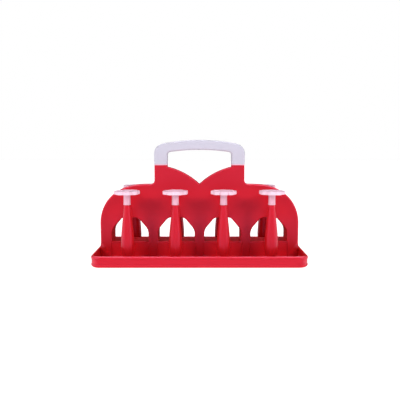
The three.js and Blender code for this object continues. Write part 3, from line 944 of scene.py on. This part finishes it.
def build_handle():
    """The white carrying handle, rounded along every edge of its grip."""
    sizes = settings().handle
    bm = bmesh.new()
    face = ring_face(bm, handle_outline(sizes))
    inner_corners = [(s * sizes.inner_half, sizes.corner_under) for s in (-1, 1)]
    round_corners(bm, corners_at(face, inner_corners), sizes.inner_corner)
    bmesh.ops.translate(bm, verts=bm.verts[:], vec=(0.0, HANDLE_LOW.y, 0.0))
    back = verts_in(bmesh.ops.extrude_face_region(bm, geom=bm.faces[:])["geom"])
    bmesh.ops.translate(bm, verts=back, vec=(0.0, HANDLE_HIGH.y - HANDLE_LOW.y, 0.0))
    outward(bm)
    foot = SHELL_HIGH.z + SEAM_GAP
    long_edges = []
    for edge in bm.edges:
        tilts = sorted(abs(face.normal.y) for face in edge.link_faces)
        at_foot = all(abs(v.co.z - foot) < 0.05 * MM for v in edge.verts)
        if not at_foot and tilts[0] < 0.3 and tilts[1] > 0.8:
            long_edges.append(edge)
    round_edges(bm, long_edges, sizes.edge_round, segments=6)
    finished_piece(
        bm, "carrying_handle_moulding", "white_plastic", "stand", ["carrying_handle"]
    )


# ---------------- pegs


def peg_profile(sizes):
    """The bowling-pin side of a peg, from the middle of its foot to the tip of its spigot."""
    foot = PEG_LOW.z
    bulge = (PEG_HIGH.x - PEG_LOW.x) / 2
    low = (sizes.foot_radius, foot)
    wide = (bulge, sizes.bulge_height)
    top = (sizes.shoulder_radius, sizes.shoulder)
    rise = sizes.shoulder - sizes.bulge_height
    side = [low] + arc_points(
        low, (sizes.foot_radius + 0.2 * MM, foot + 6 * MM), (bulge, sizes.bulge_height - 8 * MM),
        wide, 12,
    )
    side += arc_points(
        wide, (bulge, sizes.bulge_height + 0.32 * rise),
        (sizes.shoulder_radius + 1.4 * MM, sizes.shoulder - 0.236 * rise), top, 22,
    )
    spigot, seat = sizes.spigot_radius, sizes.shoulder + 0.2 * MM
    return [(0.0, foot)] + side + [
        (sizes.shoulder_radius - 0.5 * MM, seat), (spigot, seat), (spigot, PEG_HIGH.z - 1 * MM),
        (spigot - 1 * MM, PEG_HIGH.z), (0.0, PEG_HIGH.z),
    ]


def build_pegs():
    """Eight pegs."""
    sizes = settings().peg
    for label in peg_names():
        centre = centre_of(f"peg_{label}")
        bm = bmesh.new()
        turned(bm, peg_profile(sizes), (centre.x, centre.y), sizes.sides)
        outward(bm)
        finished_piece(bm, f"peg_{label}_moulding", "red_plastic", "stand", [f"peg_{label}"])


# ---------------- flower caps


def petal_turn(label):
    """How far a flower is turned on its peg, read from its farthest CAD corner."""
    centre = centre_of(f"peg_{label}")
    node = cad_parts[f"flower_cap_{label}"]
    reach, angle = 0.0, 0.0
    for v in node.data.vertices:
        across, along = v.co.x - centre.x, v.co.y - centre.y
        distance = math.hypot(across, along)
        if distance > reach + 0.001 * MM:
            reach, angle = distance, math.atan2(along, across)
    return angle


def flower_disc(bm, sizes, turn):
    """The flower: a scalloped disc whose top is sunk inside a raised rim."""
    reach = (CAP_HIGH.x - CAP_LOW.x) / 2
    steps = sizes.petals * sizes.petal_steps
    made = bmesh.ops.create_circle(
        bm, cap_ends=True, segments=steps, radius=reach,
        matrix=Matrix.Translation((0.0, 0.0, sizes.disc_bottom)),
    )
    for v in made["verts"]:
        angle = math.atan2(v.co.y, v.co.x)
        lobe = math.sqrt(abs(math.cos(sizes.petals * (angle - turn) / 2)))
        shrink = 1 - sizes.petal_depth * (1 - lobe) / reach
        v.co.x *= shrink
        v.co.y *= shrink
    disc = [f for f in bm.faces if len(f.verts) == steps]
    made = bmesh.ops.extrude_face_region(bm, geom=disc)["geom"]
    rise = CAP_HIGH.z - sizes.disc_bottom
    bmesh.ops.translate(bm, verts=verts_in(made), vec=(0.0, 0.0, rise))
    outward(bm)
    rims = [e for e in bm.edges if sum(abs(f.normal.z) > 0.9 for f in e.link_faces) == 1]
    round_edges(bm, rims, sizes.rim_round, segments=3)
    lid = max(bm.faces, key=lambda f: (f.normal.z > 0.9, f.calc_area()))
    for thickness, depth in ((sizes.rim_width, 0.0), (0.7 * MM, -sizes.rim_height)):
        bmesh.ops.inset_region(
            bm, faces=[lid], thickness=thickness, depth=depth, use_even_offset=True
        )


def cap_stem(bm, sizes):
    """The stem, with a bead round its foot and an open socket for the spigot."""
    foot = CAP_LOW.z
    r = sizes.stem_radius
    bead = r + 0.35 * MM
    bore = sizes.bore_radius
    under = sizes.disc_bottom + 0.6 * MM
    turned(bm, [
        (0.0, sizes.bore_top), (bore, sizes.bore_top), (bore, foot), (bead - 0.4 * MM, foot),
        (bead, foot + 0.4 * MM), (bead, foot + 1.9 * MM), (r, foot + 2.5 * MM),
        (r - 0.1 * MM, sizes.disc_bottom - 2.4 * MM), (r + 0.3 * MM, sizes.disc_bottom - 1.0 * MM),
        (r + 1.4 * MM, sizes.disc_bottom), (r + 1.4 * MM, under), (0.0, under),
    ], (0.0, 0.0), STEM_SIDES)


def cap_hub(bm, sizes):
    """A low button in the middle of the flower."""
    radius, top = sizes.hub_radius, CAP_HIGH.z
    seat = top - 1.4 * MM
    turned(bm, [
        (0.0, seat), (radius, seat), (radius - 0.2 * MM, top - 0.5 * MM),
        (radius - 0.8 * MM, top - 0.1 * MM), (radius - 1.8 * MM, top), (0.0, top),
    ], (0.0, 0.0), ROUND_SIDES)


def petal_ribs(bm, sizes, turn):
    """A low rib along the middle of each petal."""
    for index in range(sizes.petals):
        angle = turn + index * math.tau / sizes.petals
        made = bmesh.ops.create_cube(bm, size=1.0)["verts"]
        bmesh.ops.scale(bm, verts=made, vec=(sizes.rib_length, sizes.rib_width, sizes.rib_height))
        middle = CAP_HIGH.z - sizes.rib_drop
        bmesh.ops.translate(bm, verts=made, vec=(sizes.rib_reach, 0.0, middle))
        bmesh.ops.rotate(
            bm, verts=made, cent=(0.0, 0.0, 0.0), matrix=Matrix.Rotation(angle, 3, "Z")
        )


def build_caps():
    """Eight flower caps, each on its own turning body."""
    sizes = settings().cap
    for label in peg_names():
        centre = centre_of(f"peg_{label}")
        turn = petal_turn(label)
        bm = bmesh.new()
        flower_disc(bm, sizes, turn)
        cap_stem(bm, sizes)
        cap_hub(bm, sizes)
        petal_ribs(bm, sizes, turn)
        outward(bm)
        bmesh.ops.translate(bm, verts=bm.verts[:], vec=(centre.x, centre.y, 0.0))
        node = f"flower_cap_{label}"
        finished_piece(bm, node + "_moulding", "cap_plastic", f"cap_{label}", [node])


# ---------------- screws and feet


def screw_mesh(sizes, shank_length):
    """A pan-head screw with a cross recess: its head bears at the origin, its shank is along +Z."""
    bm = bmesh.new()
    arm, half = sizes.slot_arm, sizes.slot_half
    cross = [
        (arm, -half), (arm, half), (half, half), (half, arm), (-half, arm), (-half, half),
        (-arm, half), (-arm, -half), (-half, -half), (-half, -arm), (half, -arm), (half, -half),
    ]
    face_height = -sizes.head_height
    rim_radius = sizes.head_radius - 0.9 * MM
    bmesh.ops.create_circle(
        bm, cap_ends=False, segments=SCREW_SIDES, radius=rim_radius,
        matrix=Matrix.Translation((0.0, 0.0, face_height)),
    )
    rim = bm.edges[:]
    slot = [bm.verts.new((x, y, face_height)) for x, y in cross]
    slot_edges = [bm.edges.new((a, b)) for a, b in zip(slot, slot[1:] + slot[:1])]
    bmesh.ops.triangle_fill(bm, use_beauty=True, use_dissolve=False, edges=rim + slot_edges)
    _, bottom = draw_out(bm, slot_edges, (0.0, 0.0, sizes.slot_depth))
    bmesh.ops.contextual_create(bm, geom=bottom)
    for radius, height in (
        (sizes.head_radius - 0.3 * MM, face_height + 0.35 * MM),
        (sizes.head_radius, face_height + 1.0 * MM), (sizes.head_radius, 0.0),
        (sizes.shank, 0.0), (sizes.shank, shank_length - 2 * MM), (0.3 * MM, shank_length),
    ):
        verts, rim = draw_out(bm, rim)
        for v in verts:
            scale = radius / math.hypot(v.co.x, v.co.y)
            v.co = Vector((v.co.x * scale, v.co.y * scale, height))
    bmesh.ops.contextual_create(bm, geom=rim)
    outward(bm)
    return bm


def screw_nodes():
    """Every screw's node, with True where it is driven upwards."""
    upwards = [f"peg_screw_{label}" for label in peg_names()] + PANEL_SCREWS
    level = SHELL_SCREWS + [f"handle_screw_{side}" for side in SIDES]
    return [(node, True) for node in upwards] + [(node, False) for node in level]


def build_screws():
    """Every screw, upright under the tray or level behind the panel."""
    sizes = settings().screw
    for node, upright in screw_nodes():
        low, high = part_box(node)
        middle = (low + high) / 2
        reach = (high.z - low.z) if upright else (high.y - low.y)
        bm = screw_mesh(sizes, reach - sizes.head_height)
        if upright:
            seat = Vector((middle.x, middle.y, low.z + sizes.head_height))
        else:
            level = Matrix.Rotation(math.pi / 2, 3, "X")
            bmesh.ops.rotate(bm, verts=bm.verts[:], cent=(0.0, 0.0, 0.0), matrix=level)
            seat = Vector((middle.x, high.y - sizes.head_height, middle.z))
        bmesh.ops.translate(bm, verts=bm.verts[:], vec=seat)
        finished_piece(bm, node + "_turned", "screw_steel", "stand", [node])


def build_feet():
    """Four round rubber feet with a grip groove."""
    radius = (FOOT_HIGH.x - FOOT_LOW.x) / 2
    bottom, top = FOOT_LOW.z, FOOT_HIGH.z
    profile = [
        (0.0, bottom + 0.5 * MM), (4.0 * MM, bottom + 0.5 * MM), (4.5 * MM, bottom),
        (radius - 1.0 * MM, bottom), (radius - 0.3 * MM, bottom + 0.3 * MM),
        (radius, bottom + 1.0 * MM), (radius, top), (0.0, top),
    ]
    for row in ROWS:
        for side in SIDES:
            node = f"foot_{row}_{side}"
            centre = centre_of(node)
            bm = bmesh.new()
            turned(bm, profile, (centre.x, centre.y), ROUND_SIDES)
            outward(bm)
            finished_piece(bm, node + "_pad", "foot_rubber", "stand", [node])


# ---------------- stage


def build_floor():
    """A wide pale floor."""
    bm = bmesh.new()
    bmesh.ops.create_grid(bm, x_segments=2, y_segments=2, size=4.0)
    floor = add_object("studio_floor", mesh_of(bm, "studio_floor", "studio_floor"))
    floor.visible_glossy = False


def add_lamp(name, azimuth, elevation, size, power):
    """A square softbox that faces the rack from one direction."""
    sizes = settings().stage
    level = math.cos(elevation)
    toward = Vector((
        math.sin(azimuth) * level, -math.cos(azimuth) * level, math.sin(elevation),
    ))
    data = bpy.data.lights.new(name, "AREA")
    data.shape = "SQUARE"
    data.size = size
    data.energy = power
    lamp = add_object(name, data)
    lamp.location = Vector((0.0, 0.0, sizes.light_aim)) + toward * sizes.light_distance
    lamp.rotation_euler = (-toward).to_track_quat("-Z", "Y").to_euler()
    return lamp


def build_lamps(sizes):
    """A softbox in front to each side, and a wide dim one between them."""
    for side, sign in SIDES.items():
        add_lamp(
            f"softbox_{side}", sign * sizes.light_azimuth, sizes.light_elevation,
            sizes.light_size, sizes.light_power,
        )
    front = add_lamp(
        "softbox_front", 0.0, sizes.front_elevation, sizes.front_size, sizes.front_power
    )
    front.visible_glossy = False


def build_world(sizes):
    """A white surround for the eye, a softer one for light, and its own one for gloss."""
    world = bpy.data.worlds.new("studio_surround")
    bpy.context.scene.world = world
    graph = Graph(world)
    seen = graph.node("ShaderNodeLightPath", output="Is Camera Ray")
    mirrored = graph.node("ShaderNodeLightPath", output="Is Glossy Ray")
    toward = graph.node("ShaderNodeTexCoord", output="Generated")
    across, back, up = (graph.along(toward, axis) for axis in "XYZ")
    overhead = graph.fade(up, 0.55, 0.95)
    beside = graph.fade(across * across, 0.3, 0.8)
    table = graph.fade(up, 0.2, -0.05) * graph.fade(back, 0.1, -0.3)
    gloss = overhead * sizes.mirror_top + beside * sizes.mirror_side
    gloss = gloss + table * sizes.mirror_table + sizes.mirror_fill
    soft = graph.fade(up, 0.1, 0.8) * sizes.fill_top + sizes.fill
    level = (1 - mirrored) * soft + mirrored * gloss
    level = level * (1 - seen) + seen
    surround = graph.node(
        "ShaderNodeBackground", {}, {"Color": (1.0, 1.0, 1.0, 1.0), "Strength": level}
    )
    graph.node("ShaderNodeOutputWorld", {}, {"Surface": surround})


def build_camera(sizes):
    """The camera, level with the top of the handle and looking slightly down."""
    data = bpy.data.cameras.new("product_camera")
    data.lens = sizes.lens
    data.sensor_width = 36.0
    camera = add_object("product_camera", data)
    camera.location = (0.0, -sizes.camera_distance, sizes.camera_height)
    yaw = math.atan2(-sizes.aim_x, sizes.camera_distance)
    camera.rotation_euler = (math.pi / 2 - sizes.pitch, 0.0, yaw)
    bpy.context.scene.camera = camera


def build_stage():
    """Camera, floor, lamps and surround."""
    sizes = settings().stage
    build_camera(sizes)
    build_floor()
    build_lamps(sizes)
    build_world(sizes)
    view = bpy.context.scene.view_settings
    view.view_transform = "Standard"
    view.look = "None"


# ---------------- operators and panel


class RACK_OT_stage(bpy.types.Operator):
    """Adds the camera, lamps and floor"""

    bl_idname = "rack.stage"
    bl_label = "Stage"

    def execute(self, context):
        build_stage()
        return {"FINISHED"}


class RACK_OT_tray(bpy.types.Operator):
    """Adds the drip tray"""

    bl_idname = "rack.tray"
    bl_label = "Drip Tray"

    def execute(self, context):
        build_tray()
        return {"FINISHED"}


class RACK_OT_panel_shells(bpy.types.Operator):
    """Adds the front and rear shells of the centre panel"""

    bl_idname = "rack.panel_shells"
    bl_label = "Panel Shells"

    def execute(self, context):
        build_panel()
        return {"FINISHED"}


class RACK_OT_handle(bpy.types.Operator):
    """Adds the carrying handle"""

    bl_idname = "rack.handle"
    bl_label = "Handle"

    def execute(self, context):
        build_handle()
        return {"FINISHED"}


class RACK_OT_pegs(bpy.types.Operator):
    """Adds the eight pegs"""

    bl_idname = "rack.pegs"
    bl_label = "Pegs"

    def execute(self, context):
        build_pegs()
        return {"FINISHED"}


class RACK_OT_flower_caps(bpy.types.Operator):
    """Adds the flower cap on each peg"""

    bl_idname = "rack.flower_caps"
    bl_label = "Flower Caps"

    def execute(self, context):
        build_caps()
        return {"FINISHED"}


class RACK_OT_screws(bpy.types.Operator):
    """Adds every screw"""

    bl_idname = "rack.screws"
    bl_label = "Screws"

    def execute(self, context):
        build_screws()
        return {"FINISHED"}


class RACK_OT_feet(bpy.types.Operator):
    """Adds the rubber feet"""

    bl_idname = "rack.feet"
    bl_label = "Rubber Feet"

    def execute(self, context):
        build_feet()
        return {"FINISHED"}


OPERATORS = (
    RACK_OT_stage, RACK_OT_tray, RACK_OT_panel_shells, RACK_OT_handle, RACK_OT_pegs,
    RACK_OT_flower_caps, RACK_OT_screws, RACK_OT_feet,
)


class RACK_PT_sidebar(bpy.types.Panel):
    """Lists the rack's pieces"""

    bl_label = "Peg Rack"
    bl_idname = "RACK_PT_sidebar"
    bl_space_type = "VIEW_3D"
    bl_region_type = "UI"
    bl_category = "Peg Rack"

    def draw(self, context):
        for operator in OPERATORS:
            self.layout.operator(operator.bl_idname)


CLASSES = (
    TraySizes, PanelSizes, HandleSizes, PegSizes, CapSizes, ScrewSizes, Colours, StageSizes,
    RackSettings, *OPERATORS, RACK_PT_sidebar,
)


def register():
    """Adds the rack's classes and its settings."""
    for item in CLASSES:
        bpy.utils.register_class(item)
    bpy.types.Scene.peg_rack = PointerProperty(type=RackSettings)


def unregister():
    """Takes the rack's settings and classes away."""
    del bpy.types.Scene.peg_rack
    for item in reversed(CLASSES):
        bpy.utils.unregister_class(item)


def write_sizes():
    """Updates the view layer, so that every piece's place is current."""
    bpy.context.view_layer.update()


def main():
    """Builds the whole rack and its stage."""
    register()
    for operator in OPERATORS:
        group, action = operator.bl_idname.split(".")
        getattr(getattr(bpy.ops, group), action)()
    write_sizes()


if __name__ == "__main__":
    main()
